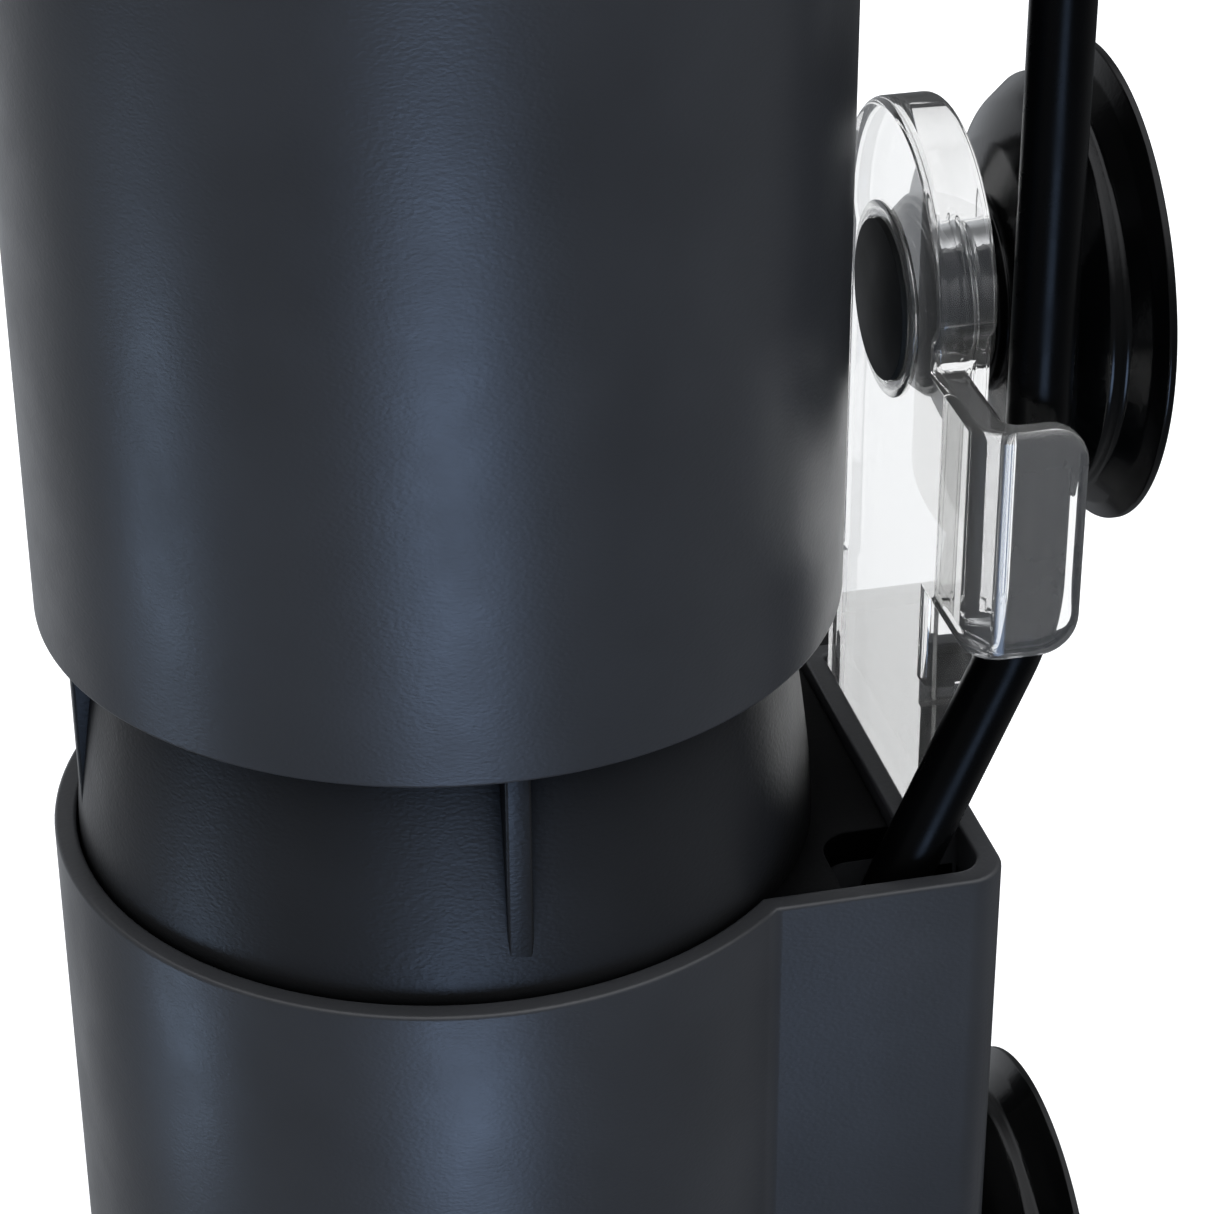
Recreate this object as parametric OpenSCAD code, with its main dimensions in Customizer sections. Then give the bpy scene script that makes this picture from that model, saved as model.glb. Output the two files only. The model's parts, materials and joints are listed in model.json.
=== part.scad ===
// Submersible water circulator with heater, held to a vessel wall by two suction cups.
// Millimetres, +Z up. The origin is on the body's axis, at the plane of the feet.
// +Y points to the wall that the cups hold on to, +X to the side that carries the lead.

/* [Lower housing] */
// Outer radius of the lower housing and of the sleeve
body_r = 32; // [30:0.5:36]
// Wall thickness of the housings
wall = 1.8; // [1.6:0.1:2.2]
// Height of the lower housing's rim above the feet
rim_z = 92; // [86:1:100]
// Half width of the rear extension
rear_half_w = 23.5; // [22.5:0.5:25]
// Distance of the rear extension's back from the axis
rear_y = 41; // [40:0.5:43]
// Half width of the slot that the bracket slides into
slot_half_w = 13.1; // [12.9:0.1:13.6]

/* [Flow sleeve] */
// Height of the ring gap between the rim and the sleeve
gap_h = 20.3; // [18:0.1:24]
// Top of the sleeve
sleeve_top_z = 180.2; // [176:0.2:181]
// Number of guide ribs on the cone
rib_count = 4; // [3:1:6]
// Width of a guide rib
rib_w = 2; // [1.5:0.1:2.5]

/* [Head] */
// Height of the head's lower face
head_z = 198; // [198:0.5:200]
// Radius of the round front of the head
head_r = 36; // [34:0.5:38]
// Height of the head's shell without its lid
head_h = 34; // [30:1:40]
// Outer radius of the control dial
dial_r = 26; // [24:0.5:27]

/* [Bracket and cups] */
// Front face of the bracket plate
plate_y = 36.4; // [36.3:0.1:36.7]
// Thickness of the bracket plate above the housing
plate_t = 4.8; // [4.4:0.1:5]
// Half width of the bracket plate
plate_half_w = 12.2; // [11.6:0.1:12.4]
// Height of the upper suction cup's axis
cup_high_z = 132.1; // [128:0.1:134]
// Height of the lower suction cup's axis
cup_low_z = 32.4; // [30:0.1:40]
// Radius of a suction cup's rim
cup_r = 19.3; // [18:0.5:21]
// Distance of the cups' rim plane from the axis
wall_y = 53.3; // [52.5:0.1:55]

/* [Motor lead] */
// Diameter of the lead between the motor and the head
lead_d = 4.9; // [4.5:0.1:5.2]
// Lead's place across the body
lead_x = 18.4; // [17.5:0.1:19]
// Lead's place behind the axis where it runs straight up
lead_y = 42.8; // [42.4:0.1:43.5]

/* [Hidden] */
$fn = 96;

// Clearances: a face that slides on another, and a shaft that turns in its bush
slide_gap = 0.3;
shaft_gap = 0.05;
groove = 0.2;
inner_r = body_r - wall;

// Levels from the feet upwards
foot_h = 1.2;
cover_top_z = 5;
deck_z = rim_z - 1;
deck_t = 3;
sleeve_z = rim_z + gap_h;
cone_top_z = 122;
tube_z = sleeve_z - 1;
rib_top_z = 120;
collar_z = sleeve_top_z + 1.1;
collar_top_z = head_z - 0.7;

// Radii of the flow path
cone_base_r = inner_r - groove;
cone_drop = 2.8;
tube_r = inner_r - slide_gap;
tube_wall = 1;
rib_r = tube_r - 0.15;
collar_r = 33.6;
spout_r = 6.5;
spout_bore_r = 4.8;
spout_root_r = 6.2;
shoulder_r = 7.6;
shoulder_y = 35;
spout_reach = 45;
spout_z = 189;

// Motor
shaft_r = 2;
can_r = 11.2;
magnet_r = 9.6;
core_r = 23;
core_z = 66;
core_top_z = 96;
winding_h = 5;
rib_root_r = core_r + 2.2;
impeller_r = 23;
impeller_z = 123;

// Heater
heater_r = 16;
heater_rod_r = 2.6;
heater_z = 141;
probe_r = 2;
probe_y = -7;
probe_z = 152;

// Head
rear_head_half_w = 27;
rear_head_y = 52;
head_wall = 2.2;
head_floor = 2.5;
lid_z = head_z + head_h;
lid_t = 2.6;
spigot_r = 18;
lens_r = 15.6;
dial_z = lid_z + lid_t + 0.4;
dial_h = 9;
button_r = 5;
button_x = 11;
button_y = 35.5;
inlet_y = 33;
inlet_w = 16.8;
inlet_h = 9.8;
board_z = lid_z - 11;
inlet_z = head_z + 17;

// Bracket
slot_depth = 4.9;
rail_lip = 1.2;
plate_z = 18;
plate_head_r = 13.2;
plate_head_z = 135;
rail_back_y = rear_y - 1.6;
rail_half_w = slot_half_w - 0.3;
rail_top_z = rim_z + 10;
clip_z = 112;
clip_h = 19.5;
clip_t = 2.2;
clip_arm_t = 2.8;
clip_out_x = 23.8;
clip_end_y = 45.2;
clip_corner = 3.2;
stem_head_r = 6.4;
stem_r = 4.5;
stem_button_r = 6.6;
stem_button_t = 0.7;
flange_r = 7.8;
flange_t = 0.5;

// Well for the lead, between the walls of the rear extension, and the deck's cut-out above it
well_x0 = 12.9;
well_x1 = rear_half_w - wall;
well_y0 = 25.9;
cutout_y = 27.9;
cutout_corner = 2.8;
well_y1 = rear_y - wall;
well_z = 77;
well_w = well_x1 - well_x0;
well_d = well_y1 - well_y0;
well_wall = 1.2;

// Lead: straight down, one bend, then slanting into the deck
bend_r = 20;
bend_z = 116.5;
slant = 23;
slant_len = 33;

// ---- shapes shared by several parts ----

// Upright ring between two levels
module ring(r_out, r_in, z0, z1) {
    translate([0, 0, z0]) difference() {
        cylinder(r = r_out, h = z1 - z0);
        translate([0, 0, -1]) cylinder(r = r_in, h = z1 - z0 + 2);
    }
}

// Upright disc between two levels
module disc(r, z0, z1) {
    translate([0, 0, z0]) cylinder(r = r, h = z1 - z0);
}

// Shape drawn around +Z turned to lie around +Y, with its foot at the axis of a cup
module facing_wall(z) {
    translate([0, 0, z]) rotate([-90, 0, 0]) children();
}

// Rectangle from the axis to the back with two round rear corners
module rear_outline(half_w, back, corner) {
    translate([-half_w, 0]) square([2 * half_w, back - corner]);
    translate([corner - half_w, 0]) square([2 * (half_w - corner), back]);
    for (side = [-1, 1])
        translate([side * (half_w - corner), back - corner]) circle(r = corner);
}

// Plan of the lower housing, drawn in by a margin; the bracket's slot is left out of it
module body_outline(margin) {
    difference() {
        union() {
            circle(r = body_r - margin);
            rear_outline(rear_half_w - margin, rear_y - margin, 3.2 - margin / 2);
        }
        translate([-slot_half_w - margin, rear_y - slot_depth - margin])
            square([2 * (slot_half_w + margin), 10]);
    }
}

// Plan of the head, drawn in by a margin
module head_outline(margin) {
    circle(r = head_r - margin);
    rear_outline(rear_head_half_w - margin, rear_head_y - margin, 8 - margin);
}

// Small countersunk screw head and shank, head downwards or upwards along +Z
module screw(head_r, shank_r, length) {
    difference() {
        cylinder(r = head_r, h = 1.6);
        translate([-head_r * 0.6, -0.35, 1]) cube([head_r * 1.2, 0.7, 1]);
        translate([-0.35, -head_r * 0.6, 1]) cube([0.7, head_r * 1.2, 1]);
    }
    translate([0, 0, -length]) cylinder(r = shank_r, h = length);
}

// ---- lower unit ----

screw_places = [[-18, -18], [18, -18], [-17.5, 30], [17.5, 30]];

module base_cover() {
    color("#2c3136") difference() {
        translate([0, 0, foot_h]) linear_extrude(cover_top_z - foot_h) body_outline(0);
        for (p = screw_places) translate([p[0], p[1], 0]) {
            cylinder(r = 1.6, h = 10);
            cylinder(r = 3.1, h = foot_h + 2);
        }
    }
}

module foot_pads() {
    color("#1a1b1c") {
        disc(9, 0, foot_h);
        for (angle = [0:90:270]) rotate(angle) translate([24.5, 0, 0]) cylinder(r = 4.5, h = foot_h);
    }
}

module base_screws() {
    color("silver") for (p = screw_places)
        translate([p[0], p[1], foot_h + 1.9]) mirror([0, 0, 1]) screw(2.9, 1.5, 9);
}

module ballast() {
    color("dimgray") {
        difference() {
            disc(24, cover_top_z, 19);
            for (p = screw_places) translate([p[0], p[1], 0]) cylinder(r = 4.5, h = 30);
        }
        // posts that the driver board stands on
        for (x = [-1, 1]) for (y = [-1, 1]) translate([x * 15, y * 11, 18]) cylinder(r = 2, h = 16);
    }
}

module lower_housing() {
    color("#363b41") {
        difference() {
            translate([0, 0, cover_top_z]) linear_extrude(rim_z - cover_top_z) body_outline(0);
            translate([0, 0, cover_top_z - 1]) linear_extrude(rim_z) body_outline(wall);
        }
        // screw pillars
        for (p = screw_places) translate([p[0], p[1], cover_top_z]) difference() {
            cylinder(r = 4, h = 12);
            translate([0, 0, -1]) cylinder(r = 1.5, h = 10);
        }
        // lips that keep the bracket plate in its slot
        for (side = [0, 1]) mirror([side, 0, 0])
            translate([slot_half_w - rail_lip, rear_y - 1.2, cover_top_z])
                cube([rail_lip + 0.5, 1.2, rim_z - cover_top_z]);
        // ledge that the deck rests on
        ring(inner_r + 0.1, inner_r - 1.2, deck_z - deck_t - 2, deck_z - deck_t);
        // well under the deck's cut-out, which holds the lead's gland
        difference() {
            translate([0, 0, well_z - 3]) linear_extrude(deck_z - deck_t - well_z + 3) intersection() {
                translate([well_x0 - well_wall, well_y0 - well_wall])
                    square([well_w + well_wall + 0.5, well_d + well_wall + 0.5]);
                body_outline(wall / 2);
            }
            translate([0, 0, well_z]) linear_extrude(20) intersection() {
                translate([well_x0, well_y0]) square([well_w, well_d]);
                body_outline(wall);
            }
        }
    }
}

module driver_board() {
    color("darkgreen") translate([-20, -17, 34]) cube([40, 34, 1.6]);
}

module board_parts() {
    color("#303030") {
        translate([-9, 2, 35.6]) cylinder(r = 5, h = 12);
        translate([6, 4, 35.6]) cylinder(r = 4, h = 10);
        translate([-13, -13, 35.6]) cube([9, 9, 3]);
        translate([3, -12, 35.6]) cube([12, 7, 8]);
    }
}

module stator_core() {
    color("slategray") difference() {
        disc(core_r, core_z, core_top_z);
        disc(can_r, 60, 100);
        for (angle = [0:60:300]) rotate(angle) translate([17, -2, 60]) cube([4, 4, 40]);
    }
}

module stator_windings() {
    color("#b4672f") {
        for (angle = [0:60:300]) rotate(angle) translate([17, -1.9, 65]) cube([3.9, 3.8, 32]);
        ring(21.5, 13, core_z - winding_h - 0.5, core_z);
        ring(21.5, 13, core_top_z, core_top_z + winding_h);
    }
}

module rotor_can() {
    color("gainsboro") {
        ring(can_r, can_r - 1, 58, 112);
        disc(can_r, 56.5, 58);
    }
}

module rotor_magnet() {
    color("#4a4a4e") ring(magnet_r, shaft_r, 68, 94);
}

module motor_shaft() {
    color("whitesmoke") disc(shaft_r, 59, 134);
}

module shaft_bushes() {
    color("ivory") {
        ring(can_r - 1, shaft_r + shaft_gap, 60, 64);
        ring(5, shaft_r + shaft_gap, 113, cone_top_z);
    }
}

// Outer radius of the cone at a level between the rim and the sleeve's edge
function cone_r(z) = cone_base_r - cone_drop * pow(max(0, z - rim_z) / gap_h, 1.35);
dome_r = 9;
dome_z = cone_top_z - dome_r;
dome_x = cone_r(dome_z) - dome_r;
cone_side = [for (i = [0:10]) let (z = rim_z + i * (dome_z - rim_z) / 10) [cone_r(z), z]];
dome_side = [for (a = [10:10:90]) [dome_x + dome_r * cos(a), dome_z + dome_r * sin(a)]];
cone_line = concat([[cone_base_r, deck_z - deck_t]], cone_side, dome_side);

// Cut-out of the deck for the lead, open to the side and rear walls, with one round corner
module lead_cutout() {
    translate([well_x0 + cutout_corner, cutout_y + cutout_corner]) circle(r = cutout_corner);
    translate([well_x0 + cutout_corner, cutout_y]) square([12, 15]);
    translate([well_x0, cutout_y + cutout_corner]) square([12, 12]);
}

module flow_cone() {
    color("#3a3f45") {
        difference() {
            rotate_extrude() polygon(concat(cone_line, [[0, cone_top_z], [0, deck_z - deck_t]]));
            translate([0, 0, deck_z - deck_t - 1]) cylinder(r = core_r + 2, h = dome_z - deck_z + deck_t);
            disc(5, 100, cone_top_z + 1);
        }
        // ribs that centre the stator
        for (angle = [45:90:315]) rotate(angle) translate([core_r, -1.5, deck_z - deck_t])
            cube([2.6, 3, 10]);
        for (i = [0:rib_count - 1]) rotate(i * 360 / rib_count) {
            translate([rib_root_r, -rib_w / 2, rim_z + 1])
                cube([rib_r - rib_root_r, rib_w, rib_top_z - rim_z - 1]);
            translate([dome_x, -rib_w / 2, dome_z]) cube([rib_r - dome_x, rib_w, rib_top_z - dome_z]);
        }
        difference() {
            translate([0, 0, deck_z - deck_t]) linear_extrude(deck_t) body_outline(wall + groove);
            disc(inner_r - 2, deck_z - deck_t - 1, deck_z + 1);
            translate([0, 0, deck_z - deck_t - 1]) linear_extrude(deck_t + 2) lead_cutout();
        }
    }
}

module impeller() {
    color("#2b2e33") {
        difference() {
            disc(5, impeller_z, impeller_z + 10);
            disc(shaft_r, 120, 140);
        }
        difference() {
            disc(impeller_r, impeller_z, impeller_z + 1.6);
            disc(4, 120, 130);
        }
        for (angle = [0:60:300]) rotate(angle)
            translate([3.5, -0.8, impeller_z + 1.2]) cube([impeller_r - 4, 1.6, 7]);
    }
}

module flow_tube() {
    color("#33383d") {
        difference() {
            ring(tube_r, tube_r - tube_wall, tube_z, head_z);
            // notches over the guide ribs
            for (i = [0:rib_count - 1]) rotate(i * 360 / rib_count)
                translate([tube_r - 4, -rib_w / 2 - 0.2, tube_z - 1])
                    cube([8, rib_w + 0.4, rib_top_z - tube_z + 1]);
            // outlet windows behind the collar
            for (i = [0:5]) rotate(i * 60) translate([tube_r - 4, -11.5, spout_z - 4.8])
                cube([8, 23, 9.6]);
        }
        // stop ring between the sleeve and the collar
        ring(tube_r + 1.3, tube_r - 0.5, sleeve_top_z + 0.3, sleeve_top_z + 1);
    }
}

// ---- moving sleeve and collar ----

module flow_sleeve() {
    color("#383d43") difference() {
        disc(body_r, sleeve_z, sleeve_top_z);
        disc(inner_r, sleeve_z - 1, sleeve_top_z + 1);
    }
}

// Level cylinder around the spout's axis between two distances in front of the body's axis
module along_spout(r, y0, y1) {
    translate([0, -y0, spout_z]) rotate([90, 0, 0]) cylinder(r = r, h = y1 - y0);
}

module outlet_collar() {
    color("#2e3338") difference() {
        ring(collar_r, inner_r, collar_z, collar_top_z);
        along_spout(spout_root_r, inner_r - 5, collar_r + 1);
    }
}

module outlet_spout() {
    color("#2e3338") difference() {
        union() {
            along_spout(spout_root_r, inner_r + 0.4, shoulder_y);
            along_spout(spout_r, shoulder_y - 1, spout_reach);
            difference() {
                along_spout(shoulder_r, inner_r + 1, shoulder_y);
                disc(collar_r, collar_z, collar_top_z);
            }
        }
        along_spout(spout_bore_r, inner_r - 1, spout_reach + 1);
    }
}

// ---- parts inside the flow tube ----

module heater_coil() {
    color("lightsteelblue") {
        for (i = [0:3]) translate([0, 0, heater_z + i * 8])
            rotate_extrude() translate([heater_r, 0]) circle(r = heater_rod_r, $fn = 48);
        for (side = [-1, 1]) translate([side * heater_r, 0, heater_z]) cylinder(r = heater_rod_r, h = 60);
    }
}

module temp_probe() {
    color("silver") {
        translate([0, probe_y, probe_z]) cylinder(r = probe_r, h = 50);
        translate([0, probe_y, probe_z]) sphere(r = probe_r);
    }
}

module bulkhead() {
    color("#c9cccf") difference() {
        disc(tube_r - tube_wall, 194.5, head_z);
        for (side = [-1, 1]) translate([side * heater_r, 0, 190]) cylinder(r = heater_rod_r, h = 20);
        translate([0, probe_y, 190]) cylinder(r = probe_r, h = 20);
    }
}

// ---- head ----

head_screw_places = [[-30.4, 0], [30.4, 0], [0, -30.4], [0, 46.2]];

module head_housing() {
    color("#363b41") {
        difference() {
            translate([0, 0, head_z]) linear_extrude(head_h) head_outline(0);
            translate([0, 0, head_z + head_floor]) linear_extrude(head_h) head_outline(head_wall);
            disc(19, head_z - 1, head_z + 5);
            translate([lead_x, lead_y, head_z - 1]) cylinder(r = 3.4, h = 5);
            translate([-rear_head_half_w - 1, inlet_y - inlet_w / 2, inlet_z - inlet_h / 2])
                cube([5, inlet_w, inlet_h]);
        }
        for (p = head_screw_places) translate([p[0], p[1], head_z + 1]) difference() {
            cylinder(r = 3.2, h = head_h - 1);
            translate([0, 0, head_h - 11]) cylinder(r = 1.15, h = 12);
        }
    }
}

module head_lid() {
    color("#2b2f34") {
        difference() {
            translate([0, 0, lid_z]) linear_extrude(lid_t) head_outline(0);
            disc(spigot_r - 2, lid_z - 1, lid_z + 5);
            for (side = [-1, 1]) translate([side * button_x, button_y, lid_z - 1])
                cylinder(r = button_r + 0.15, h = 5);
            for (p = head_screw_places) translate([p[0], p[1], lid_z - 1]) {
                cylinder(r = 1.3, h = 9);
                translate([0, 0, 1.9]) cylinder(r = 2.6, h = 9);
            }
        }
        ring(spigot_r, lens_r, lid_z, dial_z + dial_h - 1.2);
        // posts that carry the control board
        for (x = [-1, 1]) for (y = [-17, 22]) translate([x * 18.5, y, board_z + 1.6])
            cylinder(r = 1.8, h = lid_z - board_z - 1.5);
    }
}

module head_screws() {
    color("silver") for (p = head_screw_places)
        translate([p[0], p[1], lid_z + 0.9]) screw(2.3, 1.15, 7.5);
}

module control_board() {
    color("darkgreen") {
        translate([-22, -22, board_z]) cube([44, 62, 1.6]);
        for (side = [-1, 1]) translate([side * button_x - 3, button_y - 3, board_z + 1.6]) cube([6, 6, 3.2]);
    }
}

module power_supply() {
    color("#3f4650") {
        translate([-12, 22, head_z + head_floor]) cube([22, 16, 14]);
        translate([20, -8, head_z + head_floor]) cube([6, 16, 12]);
        translate([-17, -19, head_z + head_floor]) cylinder(r = 5.5, h = 16);
    }
}

module mains_inlet() {
    color("#202224") difference() {
        translate([-rear_head_half_w + 0.3, inlet_y - inlet_w / 2, inlet_z - inlet_h / 2])
            cube([13, inlet_w, inlet_h]);
        translate([-rear_head_half_w - 1, inlet_y - inlet_w / 2 + 1.6, inlet_z - inlet_h / 2 + 1.5])
            cube([10.8, inlet_w - 3.2, inlet_h - 3]);
        inlet_pin_pair();
    }
}

// The inlet's two contact pins
module inlet_pin_pair() {
    for (side = [-1, 1])
        translate([-rear_head_half_w + 1.5, inlet_y + side * 4.3, inlet_z]) rotate([0, 90, 0])
            cylinder(r = 1.2, h = 11);
}

module inlet_pins() {
    color("silver") inlet_pin_pair();
}

module display_panel() {
    color("#0c1a22") disc(lens_r, dial_z + dial_h - 6.4, dial_z + dial_h - 4.6);
}

module display_lens() {
    color([0.1, 0.12, 0.14, 0.6]) disc(lens_r, dial_z + dial_h - 4.4, dial_z + dial_h - 1.6);
}

module control_dial() {
    color("#3c4147") difference() {
        disc(dial_r, dial_z, dial_z + dial_h);
        disc(spigot_r + 0.1, dial_z - 1, dial_z + dial_h + 1);
        for (i = [0:35]) rotate(i * 10) translate([dial_r + 0.5, 0, dial_z - 1])
            cylinder(r = 0.9, h = dial_h, $fn = 24);
    }
}

// Button with a flange that holds it under the lid
module button(side) {
    translate([side * button_x, button_y, 0]) {
        disc(button_r, lid_z - 1.8, lid_z + lid_t + 2);
        disc(button_r + 1, lid_z - 1.8, lid_z - 0.3);
        disc(1.6, lid_z - 4.4, lid_z - 1.5);
    }
}

module power_button() {
    color("#8c9298") button(-1);
}

module timer_button() {
    color("#8c9298") button(1);
}

// ---- bracket and cups ----

module bracket_plate() {
    color([0.9, 0.93, 0.95, 0.35]) {
        difference() {
            union() {
                // round head, and the neck under it that stands clear above the housing
                facing_wall(plate_head_z) translate([0, 0, plate_y]) cylinder(r = plate_head_r, h = plate_t);
                translate([-plate_half_w, plate_y, clip_z])
                    cube([2 * plate_half_w, plate_t, plate_head_z - clip_z]);
                // foot of the plate, and the wider part that fills the slot
                translate([-plate_half_w, plate_y, plate_z])
                    cube([2 * plate_half_w, rail_back_y - plate_y, clip_z - plate_z]);
                translate([-rail_half_w, plate_y, plate_z])
                    cube([2 * rail_half_w, rail_back_y - plate_y, rail_top_z - plate_z]);
                translate([rail_lip - rail_half_w, plate_y, plate_z])
                    cube([2 * (rail_half_w - rail_lip), plate_t, clip_z - plate_z]);
            }
            facing_wall(cup_high_z) translate([0, 0, plate_y - 1]) {
                cylinder(r = stem_r + 0.1, h = plate_t + 3);
                cylinder(r = stem_button_r + 0.1, h = 3.1);
            }
            facing_wall(cup_low_z) translate([0, 0, plate_y - 1]) {
                cylinder(r = stem_r + 0.1, h = plate_t + 3);
                cylinder(r = stem_head_r + 0.2, h = 2.8);
            }
        }
        cord_clip();
    }
}

// Clip on the plate's near edge: an arm, a round corner and a wall that the lead lies behind
module cord_clip() {
    round_r = 3;
    translate([0, 0, clip_z]) linear_extrude(clip_h) {
        translate([plate_half_w - 1, plate_y]) square([clip_out_x - round_r - plate_half_w + 1, clip_arm_t]);
        intersection() {
            translate([clip_out_x - round_r, plate_y]) square(round_r);
            difference() {
                translate([clip_out_x - round_r, plate_y + round_r]) circle(r = round_r);
                translate([clip_out_x - round_r, plate_y + round_r]) circle(r = round_r - clip_t);
            }
        }
    }
    translate([clip_out_x - clip_t, 0, clip_z]) {
        translate([0, plate_y + round_r, 0])
            cube([clip_t, clip_end_y - clip_corner - plate_y - round_r, clip_h]);
        translate([0, plate_y + round_r, clip_corner])
            cube([clip_t, clip_end_y - plate_y - round_r, clip_h - 2 * clip_corner]);
        for (z = [clip_corner, clip_h - clip_corner]) translate([0, clip_end_y - clip_corner, z])
            rotate([0, 90, 0]) cylinder(r = clip_corner, h = clip_t);
    }
}

// Section of a suction cup: radius against distance from the axis of the body
cup_back_y = plate_y + plate_t + 0.4;
cup_line = [
    [0, cup_back_y], [7.2, cup_back_y], [8.2, cup_back_y + 1.2], [7.8, cup_back_y + 2.6],
    [11.9, cup_back_y + 3.6], [15, cup_back_y + 5.3], [cup_r - 2.5, wall_y - 4.1],
    [cup_r - 2.8, wall_y - 2.9], [cup_r - 1.4, wall_y - 1.4], [cup_r, wall_y - 0.6],
    [cup_r, wall_y], [cup_r - 0.8, wall_y],
    [15.6, wall_y - 1.5], [10, wall_y - 3.5], [0, wall_y - 4.6]
];

module suction_cup(z, stem_y) {
    facing_wall(z) {
        rotate_extrude() polygon(cup_line);
        translate([0, 0, stem_y]) cylinder(r = stem_r, h = plate_y + plate_t + 1 - stem_y);
    }
}

module cup_upper() {
    color("#141516") suction_cup(cup_high_z, plate_y + 2.1);
}

module cup_lower() {
    color("#141516") suction_cup(cup_low_z, plate_y + 1.7);
}

// Clear flange on the plate around the button, with a boss that fills the plate's counterbore
module stem_collar() {
    color([0.85, 0.88, 0.9, 0.4]) facing_wall(cup_high_z) translate([0, 0, plate_y]) difference() {
        union() {
            translate([0, 0, -flange_t]) cylinder(r = flange_r, h = flange_t);
            cylinder(r = stem_button_r, h = 2.1);
        }
        translate([0, 0, -1]) cylinder(r = stem_button_r - 0.2, h = 1);
    }
}

module stem_button() {
    color("#2b2c2c") facing_wall(cup_high_z) translate([0, 0, plate_y - stem_button_t])
        cylinder(r = stem_button_r - 0.2, h = stem_button_t);
}

module stem_head() {
    color("#1c1d1e") facing_wall(cup_low_z) translate([0, 0, plate_y + 0.2])
        cylinder(r = stem_head_r, h = 1.5);
}

// ---- lead ----

// Slanting line that the lead follows from its bend down into the well
module along_slant() {
    translate([lead_x, lead_y - bend_r + bend_r * cos(slant), bend_z - bend_r * sin(slant)])
        rotate([-slant, 0, 0]) children();
}

// The lead's centre line from the head to the well: [distance behind the axis, height, slope]
lead_bend = [for (a = [0:4:slant]) [lead_y - bend_r + bend_r * cos(a), bend_z - bend_r * sin(a), a]];
lead_last = lead_bend[len(lead_bend) - 1];
lead_foot = [lead_last[0] - slant_len * sin(slant), lead_last[1] - slant_len * cos(slant), slant];
lead_line = concat(
    [for (z = [head_z + 4, 188, 176, 164, 152, 142, 132]) [lead_y, z, 0]],
    lead_bend,
    [for (k = [0.35, 0.7]) lead_last * (1 - k) + lead_foot * k],
    [lead_foot]
);
lead_sides = 12;

module motor_lead() {
    rings = len(lead_line);
    points = [for (p = lead_line) for (j = [0:lead_sides - 1])
        let (a = j * 360 / lead_sides, across = lead_d / 2 * cos(a), out = lead_d / 2 * sin(a))
            [lead_x + across, p[0] + out * cos(p[2]), p[1] - out * sin(p[2])]];
    sides = [for (i = [0:rings - 2]) for (j = [0:lead_sides - 1]) let (k = (j + 1) % lead_sides)
        [i * lead_sides + j, i * lead_sides + k, (i + 1) * lead_sides + k, (i + 1) * lead_sides + j]];
    top = [for (j = [lead_sides - 1:-1:0]) j];
    foot = [for (j = [0:lead_sides - 1]) (rings - 1) * lead_sides + j];
    color("#111213") polyhedron(points = points, faces = concat([top], sides, [foot]), convexity = 4);
}

module lead_gland() {
    color("#151617") difference() {
        translate([0, 0, well_z]) linear_extrude(5) intersection() {
            translate([well_x0, well_y0]) square([well_w, well_d]);
            body_outline(wall);
        }
        along_slant() translate([0, 0, -slant_len]) cylinder(r = lead_d / 2, h = slant_len);
    }
}

module head_gland() {
    color("#151617") translate([lead_x, lead_y, head_z]) difference() {
        union() {
            translate([0, 0, -14]) cylinder(r1 = lead_d / 2 + 0.7, r2 = 4.2, h = 13);
            translate([0, 0, -1]) cylinder(r = 5, h = 1);
            cylinder(r = 3.4, h = head_floor);
        }
        translate([0, 0, -15]) cylinder(r = lead_d / 2, h = 20);
    }
}

base_cover();
foot_pads();
base_screws();
ballast();
lower_housing();
driver_board();
board_parts();
stator_core();
stator_windings();
rotor_can();
rotor_magnet();
motor_shaft();
shaft_bushes();
flow_cone();
impeller();
flow_tube();
flow_sleeve();
heater_coil();
temp_probe();
bulkhead();
outlet_collar();
outlet_spout();
head_housing();
head_screws();
control_board();
power_supply();
mains_inlet();
inlet_pins();
head_lid();
display_panel();
display_lens();
control_dial();
power_button();
timer_button();
bracket_plate();
cup_upper();
cup_lower();
stem_collar();
stem_button();
stem_head();
motor_lead();
lead_gland();
head_gland();
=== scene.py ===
import bmesh
import bpy
import json
import math
from mathutils import Matrix, Vector


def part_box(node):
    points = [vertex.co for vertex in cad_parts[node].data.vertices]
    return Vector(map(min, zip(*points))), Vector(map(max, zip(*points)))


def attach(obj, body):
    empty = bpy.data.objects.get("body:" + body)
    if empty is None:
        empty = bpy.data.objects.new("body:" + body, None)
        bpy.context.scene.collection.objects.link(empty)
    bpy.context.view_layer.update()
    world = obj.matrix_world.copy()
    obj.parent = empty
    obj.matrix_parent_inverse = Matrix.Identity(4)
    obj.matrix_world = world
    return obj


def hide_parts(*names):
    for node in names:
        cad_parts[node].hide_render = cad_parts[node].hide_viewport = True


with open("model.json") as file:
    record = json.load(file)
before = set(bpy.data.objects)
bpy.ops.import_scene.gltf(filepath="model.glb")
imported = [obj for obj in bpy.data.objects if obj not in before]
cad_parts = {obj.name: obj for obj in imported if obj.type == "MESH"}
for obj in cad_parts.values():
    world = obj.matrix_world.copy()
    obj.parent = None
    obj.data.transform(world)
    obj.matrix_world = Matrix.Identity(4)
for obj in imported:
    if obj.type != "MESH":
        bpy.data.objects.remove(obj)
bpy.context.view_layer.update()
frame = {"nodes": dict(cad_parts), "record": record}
MM = 0.001
TAU = 2 * math.pi

# ---------------------------------------------------------------- sizes, in millimetres
# Read from the CAD frame, or repeated from the part's source where no node's box gives them.


def low(node):
    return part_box(node)[0] / MM


def high(node):
    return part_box(node)[1] / MM


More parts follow.
